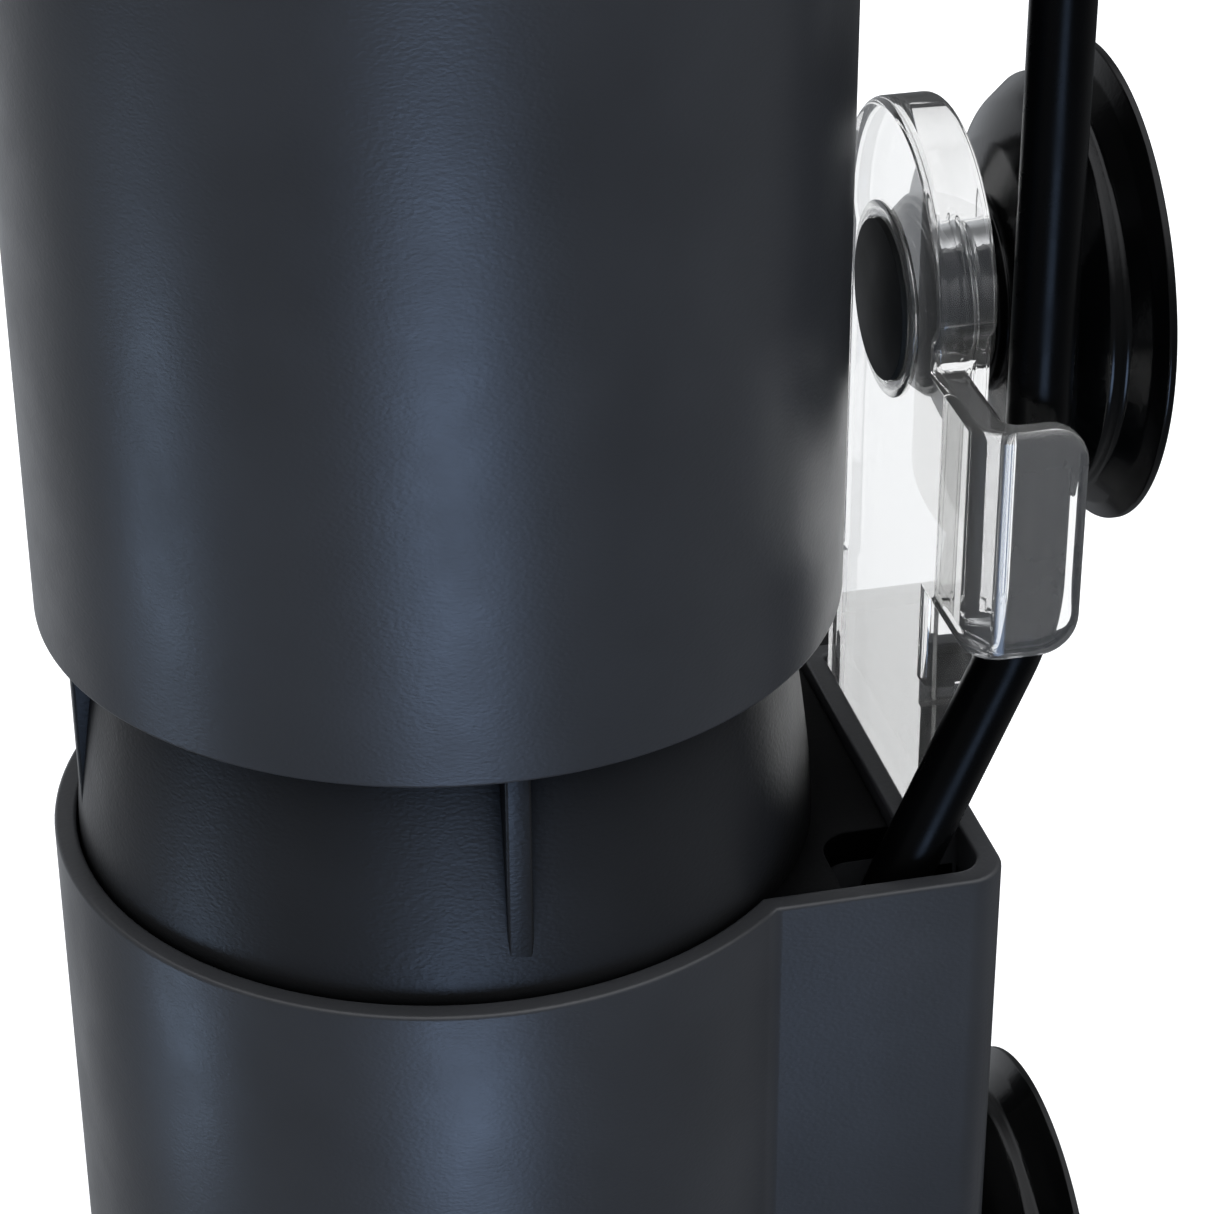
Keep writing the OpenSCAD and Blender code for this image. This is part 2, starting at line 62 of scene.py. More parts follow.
BODY_R = high("flow_sleeve").x
WALL = 1.8
INNER_R = BODY_R - WALL
RIM_Z = high("lower_housing").z
COVER_TOP_Z = low("lower_housing").z
REAR_W = 23.5
REAR_Y = high("lower_housing").y
SLOT_W = 13.1
SLOT_DEPTH = 4.9
LIP = 1.2
DECK_Z = RIM_Z - 1
SLEEVE_Z = low("flow_sleeve").z
SLEEVE_TOP_Z = high("flow_sleeve").z
HEAD_Z = low("head_housing").z
LID_Z = high("head_housing").z
HEAD_R = -low("head_housing").y
LEAD = (18.4, 42.8)
WELL_X = 12.9
BUTTON_X = 11
BUTTON_Y = 35.5
FOOT_H = 1.2
CUP_R = high("cup_upper").x
WALL_Y = high("cup_upper").y
CUP_HIGH_Z = high("cup_upper").z - CUP_R
CUP_LOW_Z = high("cup_lower").z - CUP_R
PLATE_Y = low("bracket_plate").y
PLATE_BACK = 41.2
FLANGE_Y = low("stem_collar").y

# ---------------------------------------------------------------- camera

CAMERA_AT = (252.97, -45.52, 256.6)
CAMERA_HEADING = 13.17     # degrees from -X towards +Y
CAMERA_PITCH = -29.905
CAMERA_ROLL = -0.32
CAMERA_LENS = 109.8


def make_camera():
    data = bpy.data.cameras.new("camera")
    data.sensor_width = 36
    data.lens = CAMERA_LENS
    data.clip_start = 0.01
    data.clip_end = 20
    camera = bpy.data.objects.new("camera", data)
    bpy.context.scene.collection.objects.link(camera)
    heading, pitch = math.radians(CAMERA_HEADING), math.radians(CAMERA_PITCH)
    ahead = Vector((-math.cos(heading) * math.cos(pitch), math.sin(heading) * math.cos(pitch),
                    math.sin(pitch)))
    right = ahead.cross(Vector((0, 0, 1))).normalized()
    up = right.cross(ahead)
    turn = Matrix.Rotation(math.radians(-CAMERA_ROLL), 3, ahead)
    right, up = turn @ right, turn @ up
    camera.matrix_world = Matrix.Translation(Vector(CAMERA_AT) * MM) @ Matrix((
        (right.x, up.x, -ahead.x, 0), (right.y, up.y, -ahead.y, 0), (right.z, up.z, -ahead.z, 0),
        (0, 0, 0, 1)))
    bpy.context.scene.camera = camera


make_camera()

# ---------------------------------------------------------------- node helpers for materials


class Shader:
    """A principled material whose procedural nodes are wired with few words."""

    def __init__(self, name, color, roughness, **sockets):
        self.material = bpy.data.materials.new(name)
        self.material.use_nodes = True
        self.tree = self.material.node_tree
        self.bsdf = self.tree.nodes["Principled BSDF"]
        self.bsdf.inputs["Base Color"].default_value = (*color, 1)
        self.bsdf.inputs["Roughness"].default_value = roughness
        for socket, value in sockets.items():
            self.bsdf.inputs[socket.replace("_", " ")].default_value = value
        self.coords = self.tree.nodes.new("ShaderNodeTexCoord").outputs["Object"]

    def node(self, kind, inputs=None, **settings):
        made = self.tree.nodes.new(kind)
        for key, value in settings.items():
            setattr(made, key, value)
        for key, value in (inputs or {}).items():
            if isinstance(value, bpy.types.NodeSocket):
                self.tree.links.new(value, made.inputs[key])
            else:
                made.inputs[key].default_value = value
        return made

    def link(self, source, socket):
        self.tree.links.new(source, self.bsdf.inputs[socket])

    def stretched(self, scale):
        """Object coordinates in millimetres, scaled along each axis."""
        return self.node("ShaderNodeMapping",
                         {"Vector": self.coords, "Scale": [s / MM for s in scale]}).outputs[0]

    def noise(self, scale, detail=2.0, roughness=0.5, stretch=(1, 1, 1), distortion=0.0):
        vector = self.stretched([scale * s for s in stretch])
        made = self.node("ShaderNodeTexNoise", {
            "Vector": vector, "Scale": 1.0, "Detail": detail, "Roughness": roughness,
            "Distortion": distortion})
        return made.outputs["Fac"]

    def cells(self, scale, smooth=1.0, stretch=(1, 1, 1), feature="SMOOTH_F1"):
        vector = self.stretched([scale * s for s in stretch])
        made = self.node("ShaderNodeTexVoronoi", {"Vector": vector, "Scale": 1.0}, feature=feature)
        if feature == "SMOOTH_F1":
            made.inputs["Smoothness"].default_value = smooth
        return made.outputs["Distance"]

    def span(self, source, low_in, high_in, low_out, high_out):
        return self.node("ShaderNodeMapRange", {
            "Value": source, "From Min": low_in, "From Max": high_in, "To Min": low_out,
            "To Max": high_out}).outputs[0]

    def math(self, kind, a, b):
        return self.node("ShaderNodeMath", {0: a, 1: b}, operation=kind).outputs[0]

    def shades(self, source, dark, light):
        ramp = self.node("ShaderNodeValToRGB", {"Fac": source})
        ramp.color_ramp.elements[0].color = (*dark, 1)
        ramp.color_ramp.elements[1].color = (*light, 1)
        self.link(ramp.outputs["Color"], "Base Color")
        return ramp

    def bump(self, height, depth_mm, strength=1.0):
        made = self.node("ShaderNodeBump",
                         {"Height": height, "Distance": depth_mm * MM, "Strength": strength})
        self.link(made.outputs["Normal"], "Normal")


def shaded_by_walls(s, source, low_share):
    """Darkens a surface where nearby walls close it in, as the cone is under the sleeve."""
    open_sky = s.node("ShaderNodeAmbientOcclusion", {"Distance": 11 * MM}, samples=6).outputs["AO"]
    share = s.span(open_sky, 0.45, 0.97, low_share, 1.0)
    s.link(s.math("MULTIPLY", share, s.bsdf.inputs["Specular IOR Level"].default_value), "Specular IOR Level")
    mixed = s.node("ShaderNodeVectorMath", {0: source, 1: share}, operation="MULTIPLY").outputs[0]
    s.link(mixed, "Base Color")


def tinted(color, factor):
    return tuple(c * factor for c in color)


def moulded(name, color, roughness, grain=2.6, depth=0.012, shade=None, **sockets):
    """Moulded plastic with a fine leather-like grain, faint cloudy tone and uneven sheen."""
    s = Shader(name, color, roughness, **sockets)
    cloud = s.noise(0.045, 3, 0.6)
    tone = s.shades(s.span(cloud, 0.3, 0.7, 0, 1), tinted(color, 0.85), tinted(color, 1.15))
    if shade is not None:
        shaded_by_walls(s, tone.outputs["Color"], shade)
    s.link(s.span(s.noise(0.12, 4, 0.6), 0.3, 0.7, roughness * 0.88, roughness * 1.12), "Roughness")
    wander = s.noise(grain * 0.7, 2, 0.5, (1, 1, 1.5), 0.6)
    pores = s.cells(grain, 0.7, (1, 1, 1.6))
    s.bump(s.math("ADD", wander, s.math("MULTIPLY", pores, 0.8)), depth)
    return s.material


def rubber(name, color, roughness, grain=1.6, depth=0.006, **sockets):
    """Glossy soft rubber with a slight orange-peel."""
    s = Shader(name, color, roughness, **sockets)
    s.shades(s.span(s.noise(0.08, 3, 0.6), 0.3, 0.7, 0, 1), tinted(color, 0.8), tinted(color, 1.3))
    s.link(s.span(s.noise(0.2, 4, 0.6), 0.3, 0.7, roughness * 0.8, roughness * 1.25), "Roughness")
    s.bump(s.noise(grain, 3, 0.55), depth)
    return s.material


def metal(name, color, roughness, stretch=(1, 1, 6), **sockets):
    """Metal with fine drawn lines."""
    s = Shader(name, color, roughness, Metallic=1.0, **sockets)
    lines = s.noise(1.2, 4, 0.6, stretch)
    s.shades(s.span(lines, 0.3, 0.7, 0, 1), tinted(color, 0.85), tinted(color, 1.08))
    s.link(s.span(lines, 0.3, 0.7, roughness * 0.8, roughness * 1.3), "Roughness")
    s.bump(lines, 0.004)
    return s.material


def clear(name, color, roughness=0.015, ior=1.49):
    """Clear polished plastic with the faint waviness of a moulding."""
    s = Shader(name, color, roughness, Transmission_Weight=0.93, IOR=ior)
    s.link(s.span(s.noise(0.15, 3, 0.6), 0.3, 0.7, roughness * 0.5, roughness * 1.8), "Roughness")
    s.bump(s.noise(0.09, 2, 0.5), 0.015, 0.4)
    return s.material


BODY_COLOR = (0.040, 0.0415, 0.0445)
MATERIALS = {
    "body_plastic": moulded("body_plastic", BODY_COLOR, 0.36),
    # Painted shade: the cone is a darker copy of the body's colour with weaker sheen, standing for the shade
    # under the sleeve; shade=0.2 paints more shade where walls close it in.
    "cone_plastic": moulded("cone_plastic", tinted(BODY_COLOR, 0.42), 0.4, grain=2.4, depth=0.02, shade=0.2,
                            Specular_IOR_Level=0.36),
    # Painted shade: the deck is a much darker copy of the body's colour with weaker sheen, standing for the
    # shade under the sleeve and the head; shade=0.1 paints more shade where walls close it in.
    "deck_plastic": moulded("deck_plastic", tinted(BODY_COLOR, 0.22), 0.5, shade=0.1, Specular_IOR_Level=0.2),
    "cover_plastic": moulded("cover_plastic", tinted(BODY_COLOR, 0.7), 0.45),
    "tube_plastic": moulded("tube_plastic", tinted(BODY_COLOR, 0.9), 0.4),
    "dial_plastic": moulded("dial_plastic", tinted(BODY_COLOR, 1.15), 0.38, grain=3.2),
    "button_metal": metal("button_metal", (0.52, 0.54, 0.57), 0.3),
    "clear_plastic": clear("clear_plastic", (0.80, 0.80, 0.785), ior=1.42),
    "cup_rubber": rubber("cup_rubber", (0.0015, 0.0016, 0.0016), 0.17, grain=2.4, depth=0.01,
                         Specular_IOR_Level=0.25),
    "foot_rubber": rubber("foot_rubber", (0.012, 0.012, 0.012), 0.6),
    "core_plastic": moulded("core_plastic", (0.16, 0.165, 0.165), 0.4, grain=4, depth=0.003),
    "stem_plastic": moulded("stem_plastic", (0.021, 0.0225, 0.022), 0.6, grain=5, depth=0.002,
                            Specular_IOR_Level=0.1),
    "lead_jacket": rubber("lead_jacket", (0.0018, 0.0019, 0.002), 0.28, grain=3.5, depth=0.004,
                          Specular_IOR_Level=0.09),
    "gland_rubber": rubber("gland_rubber", (0.006, 0.006, 0.0065), 0.45),
    "screw_steel": metal("screw_steel", (0.56, 0.56, 0.57), 0.3),
    "heater_steel": metal("heater_steel", (0.5, 0.51, 0.53), 0.28),
    "iron": metal("iron", (0.12, 0.12, 0.125), 0.5, (1, 1, 12)),
    "magnet": moulded("magnet", (0.03, 0.03, 0.032), 0.6, grain=4),
    "copper": metal("copper", (0.62, 0.22, 0.09), 0.32, (6, 6, 1)),
    "ceramic": moulded("ceramic", (0.7, 0.68, 0.62), 0.25, grain=6, depth=0.002),
    "board": moulded("board", (0.012, 0.09, 0.035), 0.35, grain=1.2, depth=0.004),
    "components": moulded("components", (0.03, 0.03, 0.033), 0.5, grain=3),
    "impeller_plastic": moulded("impeller_plastic", (0.05, 0.055, 0.06), 0.4),
    "seal_plastic": moulded("seal_plastic", (0.42, 0.43, 0.44), 0.45),
    "inlet_plastic": moulded("inlet_plastic", (0.01, 0.01, 0.011), 0.4, grain=3.5),
    "screen": moulded("screen", (0.004, 0.008, 0.012), 0.12, grain=8, depth=0.001),
    "lens": clear("lens", (0.55, 0.6, 0.63), 0.03, 1.45),
}

# ---------------------------------------------------------------- mesh helpers


def place(name, mesh, material, body, *nodes, sharp=35, slot=None):
    """Puts a finished mesh in the scene as a piece that rides on a body and stands for CAD nodes."""
    mesh.shade_smooth()
    mesh.set_sharp_from_angle(angle=math.radians(sharp))
    piece = bpy.data.objects.new(name, mesh)
    bpy.context.scene.collection.objects.link(piece)
    mesh.materials.clear()
    mesh.materials.append(MATERIALS[material])
    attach(piece, body)
    if nodes:
        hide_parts(*nodes)
    return piece


def to_mesh(name, bm):
    bmesh.ops.remove_doubles(bm, verts=bm.verts, dist=1e-7)
    bmesh.ops.recalc_face_normals(bm, faces=bm.faces)
    mesh = bpy.data.meshes.new(name)
    bm.to_mesh(mesh)
    bm.free()
    return mesh


def skin(name, loops, ring=False, caps=(False, False)):
    """Surface through closed loops of equally many points, in millimetres. ring closes the row of loops."""
    bm = bmesh.new()
    rows = [[bm.verts.new(Vector(p) * MM) for p in loop] for loop in loops]
    pairs = list(zip(rows, rows[1:])) + ([(rows[-1], rows[0])] if ring else [])
    for a, b in pairs:
        for i in range(len(a)):
            j = (i + 1) % len(a)
            if a is not b:
                bm.faces.new((a[i], a[j], b[j], b[i]))
    if caps[0]:
        bm.faces.new(rows[0])
    if caps[1]:
        bm.faces.new(rows[-1])
    return to_mesh(name, bm)


def rounded(points, steps=5, closed=True):
    """A polygon's points with each corner (a, b, radius) replaced by an arc."""
    out = []
    count = len(points)
    for i, (x, y, radius) in enumerate(points):
        here = Vector((x, y))
        if radius <= 0 or (not closed and i in (0, count - 1)):
            out.append((x, y))
            continue
        back = (Vector(points[i - 1][:2]) - here)
        ahead = (Vector(points[(i + 1) % count][:2]) - here)
        angle = back.angle(ahead)
        reach = min(radius / math.tan(angle / 2), back.length * 0.49, ahead.length * 0.49)
        radius = reach * math.tan(angle / 2)
        start, end = here + back.normalized() * reach, here + ahead.normalized() * reach
        centre = here + (back.normalized() + ahead.normalized()).normalized() * radius / math.sin(angle / 2)
        a, b = start - centre, end - centre
        sweep = math.atan2(a.x * b.y - a.y * b.x, a.dot(b))
        for k in range(steps + 1):
            turn = sweep * k / steps
            c, s = math.cos(turn), math.sin(turn)
            out.append((centre.x + a.x * c - a.y * s, centre.y + a.x * s + a.y * c))
    return out


def about_z(r, angle, z):
    return (r * math.cos(angle), r * math.sin(angle), z)


def about_y(centre_z):
    """Turns (radius, angle, distance) around the level axis of a suction cup into a place."""
    return lambda r, angle, y: (r * math.cos(angle), y, centre_z + r * math.sin(angle))


def lathe(name, profile, sides=160, where=about_z, ring=True):
    """Solid of revolution from (radius, height) points."""
    loops = [[where(max(r, 1e-4), TAU * i / sides, h) for i in range(sides)] for r, h in profile]
    mesh = skin(name, loops, ring=ring)
    bm = bmesh.new()
    bm.from_mesh(mesh)
    bmesh.ops.remove_doubles(bm, verts=bm.verts, dist=3e-7)
    bmesh.ops.dissolve_degenerate(bm, dist=1e-8, edges=bm.edges)
    bmesh.ops.delete(bm, geom=[e for e in bm.edges if not e.link_faces], context="EDGES")
    bmesh.ops.recalc_face_normals(bm, faces=bm.faces)
    bm.to_mesh(mesh)
    bm.free()
    return mesh


def prism(name, outline, low_level, high_level, up=2):
    """Solid of a plan outline between two levels along axis up (0, 1 or 2)."""
    def at(p, level):
        place_at = [p[0], p[1]]
        place_at.insert(up, level)
        return place_at
    return skin(name, [[at(p, low_level) for p in outline], [at(p, high_level) for p in outline]],
                caps=(True, True))


def block(name, low_corner, high_corner):
    (x0, y0, z0), (x1, y1, z1) = low_corner, high_corner
    return prism(name, [(x0, y0), (x1, y0), (x1, y1), (x0, y1)], z0, z1)


def combined(name, base, others, kind):
    """Boolean of meshes: UNION or DIFFERENCE."""
    holder = bpy.data.objects.new(name, base)
    bpy.context.scene.collection.objects.link(holder)
    tools = []
    for mesh in others:
        tool = bpy.data.objects.new(name + "_tool", mesh)
        bpy.context.scene.collection.objects.link(tool)
        tools.append(tool)
        modifier = holder.modifiers.new("boolean", "BOOLEAN")
        modifier.operation = kind
        modifier.solver = "EXACT"
        modifier.object = tool
    bpy.context.view_layer.update()
    result = bpy.data.meshes.new_from_object(holder.evaluated_get(bpy.context.evaluated_depsgraph_get()))
    result.name = name
    for o in [holder, *tools]:
        bpy.data.objects.remove(o)
    return result


def eased(mesh, width, segments=3, angle=35, clamp=True):
    """The mesh with its sharp edges rounded. Without clamp, short edges nearby don't narrow the rounding."""
    holder = bpy.data.objects.new("eased", mesh)
    bpy.context.scene.collection.objects.link(holder)
    modifier = holder.modifiers.new("bevel", "BEVEL")
    modifier.width = width * MM
    modifier.segments = segments
    modifier.limit_method = "ANGLE"
    modifier.angle_limit = math.radians(angle)
    modifier.use_clamp_overlap = clamp
    modifier.miter_outer = "MITER_SHARP" if not clamp else "MITER_ARC"
    bpy.context.view_layer.update()
    result = bpy.data.meshes.new_from_object(holder.evaluated_get(bpy.context.evaluated_depsgraph_get()))
    result.name = mesh.name
    bpy.data.objects.remove(holder)
    return result


def smooth_normals(piece):
    """Large flat faces keep flat shading beside their rounded edges."""
    modifier = piece.modifiers.new("normals", "WEIGHTED_NORMAL")
    modifier.keep_sharp = True
    return piece


# ---------------------------------------------------------------- outlines


def mirrored(half):
    """Closed outline from its half with x >= 0, which starts and ends on x = 0."""
    return half + [(-x, y) for x, y in reversed(half[1:-1])]


def body_outline(m, lips=False):
    """Plan of the lower housing drawn in by m: round front, square rear with a slot for the bracket."""
    r, w, back, slot, corner = BODY_R - m, REAR_W - m, REAR_Y - m, SLOT_W + m, 3.2 - m / 2
    slot_y = REAR_Y - SLOT_DEPTH - m
    join = math.atan2(math.sqrt(r * r - w * w), w)
    half = [(r * math.cos(a), r * math.sin(a))
            for a in (-math.pi / 2 + (join + math.pi / 2) * i / 56 for i in range(57))]
    half[0] = (0, -r)
    half += [(w, half[-1][1] + (back - corner - half[-1][1]) * k) for k in (0.03, 0.5)]
    half += [(w - corner + corner * math.cos(a), back - corner + corner * math.sin(a))
             for a in (math.pi / 2 * k / 8 for k in range(9))]
    lip = LIP if lips else 0.0
    half += [(slot - lip + 0.25, back), (slot - lip, back - 0.25), (slot - lip, back - 1.2),
             (slot, back - 1.2 - 0.01)]
    half += [(slot, slot_y + 0.5), (slot - 0.15, slot_y + 0.15), (slot - 0.5, slot_y), (0, slot_y)]
    return mirrored(half)


def head_outline(m):
    """Plan of the head drawn in by m: a round front and a squarer rear."""
    r, w, back, corner = HEAD_R - m, 27 - m, 52 - m, 8 - m
    join = math.atan2(math.sqrt(r * r - w * w), w)
    half = [(r * math.cos(a), r * math.sin(a))
            for a in (-math.pi / 2 + (join + math.pi / 2) * i / 60 for i in range(61))]
    half[0] = (0, -r)
    half += [(w, half[-1][1] + (back - corner - half[-1][1]) * k) for k in (0.06, 0.5)]
    half += [(w - corner + corner * math.cos(a), back - corner + corner * math.sin(a))
             for a in (math.pi / 2 * k / 10 for k in range(11))]
    half += [(0, back)]
    return mirrored(half)


def hole_in(outline, radius):
    """Round hole around the axis with one point for each point of an outline."""
    return [(radius * math.cos(a), radius * math.sin(a)) for a in (math.atan2(y, x) for x, y in outline)]


def rounding(edge, steps=4):
    """(inset, rise) pairs of a quarter round of radius edge, from the side face to the top face."""
    return [(edge * (1 - math.cos(math.pi / 2 * k / steps)), edge * math.sin(math.pi / 2 * k / steps))
            for k in range(steps + 1)]


def at_level(outline, z):
    return [(x, y, z) for x, y in outline]


# ---------------------------------------------------------------- lower unit


def lead_well_outline(grown):
    """Plan of the well that the lead goes into, in front of and beside the bracket's slot."""
    x0, x1, y0, y1 = WELL_X, REAR_W - WALL, 25.9, REAR_Y - WALL
    step_x, step_y = SLOT_W + WALL, REAR_Y - SLOT_DEPTH - WALL
    g = grown
    return [(x0 - g, y0 - g), (x1 + g / 2, y0 - g), (x1 + g / 2, y1 + g / 2), (step_x - g / 2, y1 + g / 2),
            (step_x - g / 2, step_y + g / 2), (x0 - g, step_y + g / 2)]


def make_lower_housing():
    edge = 0.35
    loops = [at_level(body_outline(WALL), COVER_TOP_Z)]
    loops += [at_level(body_outline(WALL), RIM_Z - edge)]
    loops += [at_level(body_outline(WALL - m), RIM_Z - edge + rise) for m, rise in rounding(edge)[1:]]
    loops += [at_level(body_outline(m, lips=True), RIM_Z - edge + rise) for m,
              rise in reversed(rounding(edge))]
    loops += [at_level(body_outline(0, lips=True), COVER_TOP_Z + 0.3)]
    loops += [at_level(body_outline(0.3, lips=True), COVER_TOP_Z)]
    shell = place("housing_shell", skin("housing_shell", loops, ring=True), "body_plastic", "unit",
                  "lower_housing",
                  sharp=50)
    inner = lead_well_outline(0)
    outer = lead_well_outline(1.2)
    well = skin("lead_well",
                [at_level(outer, 74), at_level(outer, 88), at_level(inner, 88), at_level(inner, 77)],
                caps=(True, True))
    place("lead_well", well, "cover_plastic", "unit")
    return shell


make_lower_housing()


def cone_r(z):
    return INNER_R - 0.2 - 2.8 * (max(0, z - RIM_Z) / 20.3) ** 1.35


def make_cone():
    top = 122
    dome = 9
    dome_z = top - dome
    dome_x = cone_r(dome_z) - dome
    side = [(cone_r(RIM_Z + (dome_z - RIM_Z) * k / 24), RIM_Z + (dome_z - RIM_Z) * k / 24) for k in range(25)]
    over = [(dome_x + dome * math.cos(a),
             dome_z + dome * math.sin(a)) for a in (math.pi / 2 * k / 8 for k in range(1, 9))]
    bore_r, bore_top, top_hole_r = 25, dome_z - 1, 5
    profile = [(bore_r, 88), (cone_r(0), 88), (cone_r(0), DECK_Z)] + side + over
    profile += [(top_hole_r, top), (top_hole_r, bore_top), (bore_r, bore_top)]
    place("cone", lathe("cone", profile), "cone_plastic", "unit", "flow_cone", sharp=60)
    for i in range(4):
        turn = Matrix.Rotation(math.radians(90 * i), 4, "Z")
        rib = combined("rib", block("rib", (bore_r + 0.2, -1, RIM_Z + 0.8), (29.75, 1, 120)),
                       [block("rib_top", (dome_x, -1, dome_z), (29.75, 1, 120))], "UNION")
        rib = eased(rib, 0.28)
        rib.transform(turn)
        place(f"rib_{i + 1}", rib, "cone_plastic", "unit")
        centring = eased(block("core_rib", (23, -1.5, 88), (25.6, 1.5, 98)), 0.2)
        centring.transform(Matrix.Rotation(math.radians(45 + 90 * i), 4, "Z"))
        place(f"core_rib_{i + 1}", centring, "cone_plastic", "unit")


make_cone()


def make_deck():
    """Deck behind the cone, sunk below the rim, with the cut-out that the lead goes into."""
    m = WALL + 0.2
    w, back, slot, slot_y, corner = REAR_W - m, REAR_Y - m, SLOT_W + m, REAR_Y - SLOT_DEPTH - m, 2.2
    cut_y, cut_r = 27.9, 2.8
    join = math.atan2(math.sqrt((INNER_R - 0.2) ** 2 - w * w), w)
    side_y = (INNER_R - 0.2) * math.sin(join)
    inner = [(25 * math.cos(a),
              25 * math.sin(a)) for a in (math.radians(150 - 120 * k / 24) for k in range(25))]
    cut = [(WELL_X + cut_r + cut_r * math.cos(a), cut_y + cut_r + cut_r * math.sin(a))
           for a in (math.radians(-90 - 90 * k / 10) for k in range(11))]
    near = [(w, side_y), (w, cut_y)] + cut + [(WELL_X, slot_y)]
    far_corner = [(-w + corner - corner * math.cos(a), back - corner + corner * math.sin(a))
                  for a in (math.pi / 2 * k / 6 for k in range(7))]
    far = [(-slot, slot_y), (-slot, back)] + list(reversed(far_corner)) + [(-w, side_y)]
    outline = near + far + inner
    return smooth_normals(place("deck", eased(prism("deck", outline, 88, DECK_Z), 0.2, 2, 50),
                                "deck_plastic", "unit",
                                slot="cone_plastic"))


make_deck()


def make_base():
    loops = []
    for m, rise in reversed(rounding(1.4)):
        loops.append(at_level(body_outline(0.2 + m, lips=True), FOOT_H + 1.4 - rise))
    loops += [at_level(body_outline(0.2, lips=True), COVER_TOP_Z - 0.5)]
    loops += [at_level(body_outline(0.55, lips=True), COVER_TOP_Z - 0.3),
              at_level(body_outline(0.55, lips=True), COVER_TOP_Z)]
    cover = skin("cover", loops, caps=(True, True))
    spots = [(-18, -18), (18, -18), (-17.5, 30), (17.5, 30)]
    holes = []
    for x, y in spots:
        hole = lathe("hole", [(0, -1), (3.1, -1), (3.1, 3.2), (1.6, 3.2), (1.6, 10), (0, 10)], 40)
        hole.transform(Matrix.Translation((x * MM, y * MM, 0)))
        holes.append(hole)
    cover = combined("cover", cover, holes, "DIFFERENCE")
    smooth_normals(place("cover", cover, "cover_plastic", "unit", "base_cover", sharp=40))
    pads = [(0, 0, 9)] + [(24.5 * math.cos(a), 24.5 * math.sin(a), 4.5) for a in (0, TAU / 4, TAU / 2,
                                                                                  -TAU / 4)]
    for i, (x, y, r) in enumerate(pads):
        profile = rounded([(0, 0, 0), (r, 0, 0.35), (r, FOOT_H, 0), (0, FOOT_H, 0)])
        pad = lathe("pad", profile, 64)
        pad.transform(Matrix.Translation((x * MM, y * MM, 0)))
        place(f"pad_{i + 1}", pad, "foot_rubber", "unit", *(("foot_pads",) if i == 0 else ()))


make_base()


# ---------------------------------------------------------------- flow tube, sleeve and collar


def make_flow_tube():
    """Thin tube with notches over the ribs and six outlet windows near its top."""
    outer, inner, base, top = high("flow_tube").y - 1.3, high("flow_tube").y - 2.3, low("flow_tube").z, HEAD_Z
    sides = 240
    notch = math.asin(1.2 / outer)
    levels = [base, base + 0.15, 120, 150, 184.2, 193.8, top]

    def open_cell(angle, z):
        if z < 120:
            return abs((angle + math.pi / 4) % (math.pi / 2) - math.pi / 4) < notch
        if 184.2 < z < 193.8:
            return abs((angle + math.pi / 6) % (math.pi / 3) - math.pi / 6) < math.asin(11.5 / outer)
        return False

    bm = bmesh.new()
    grid = {}
    for r in (outer, inner):
        for j, z in enumerate(levels):
            for i in range(sides):
                grid[r, j, i] = bm.verts.new(Vector(about_z(r, TAU * i / sides, z)) * MM)

    def closed(j, i):
        if not 0 <= j < len(levels) - 1:
            return False
        return not open_cell(TAU * (i % sides + 0.5) / sides, (levels[j] + levels[j + 1]) / 2)

    for j in range(len(levels) - 1):
        for i in range(sides):
            if not closed(j, i):
                continue
            k = (i + 1) % sides
            bm.faces.new((grid[outer, j, i], grid[outer, j, k], grid[outer, j + 1, k], grid[outer, j + 1, i]))
            bm.faces.new((grid[inner, j, k], grid[inner, j, i], grid[inner, j + 1, i], grid[inner, j + 1, k]))
            if not closed(j - 1, i):
                bm.faces.new((grid[outer, j, k], grid[outer, j, i], grid[inner, j, i], grid[inner, j, k]))
            if not closed(j + 1, i):
                bm.faces.new((grid[outer, j + 1, i], grid[outer, j + 1, k], grid[inner, j + 1, k],
                              grid[inner, j + 1, i]))
            if not closed(j, i - 1):
                bm.faces.new((grid[outer, j, i], grid[outer, j + 1, i], grid[inner, j + 1, i],
                              grid[inner, j, i]))
            if not closed(j, i + 1):
                bm.faces.new((grid[outer, j + 1, k], grid[outer, j, k], grid[inner, j, k],
                              grid[inner, j + 1, k]))
    place("flow_liner", to_mesh("flow_liner", bm), "tube_plastic", "unit", "flow_tube", sharp=30)
    stop = lathe("stop_ring",
                 rounded([(29.6, 180.5, 0), (31.2, 180.5, 0.2), (31.2, 181.2, 0.2), (29.6, 181.2, 0)]))
    place("stop_ring", stop, "tube_plastic", "unit")


make_flow_tube()


def make_sleeve():
    e = 0.3
    profile = rounded([
        (INNER_R, SLEEVE_Z, e), (BODY_R, SLEEVE_Z, e), (BODY_R, SLEEVE_TOP_Z, 0.6),
        (INNER_R, SLEEVE_TOP_Z, e)])
    place("sleeve_shell", lathe("sleeve_shell", profile, 240), "body_plastic", "sleeve", "flow_sleeve",
          sharp=60)


make_sleeve()


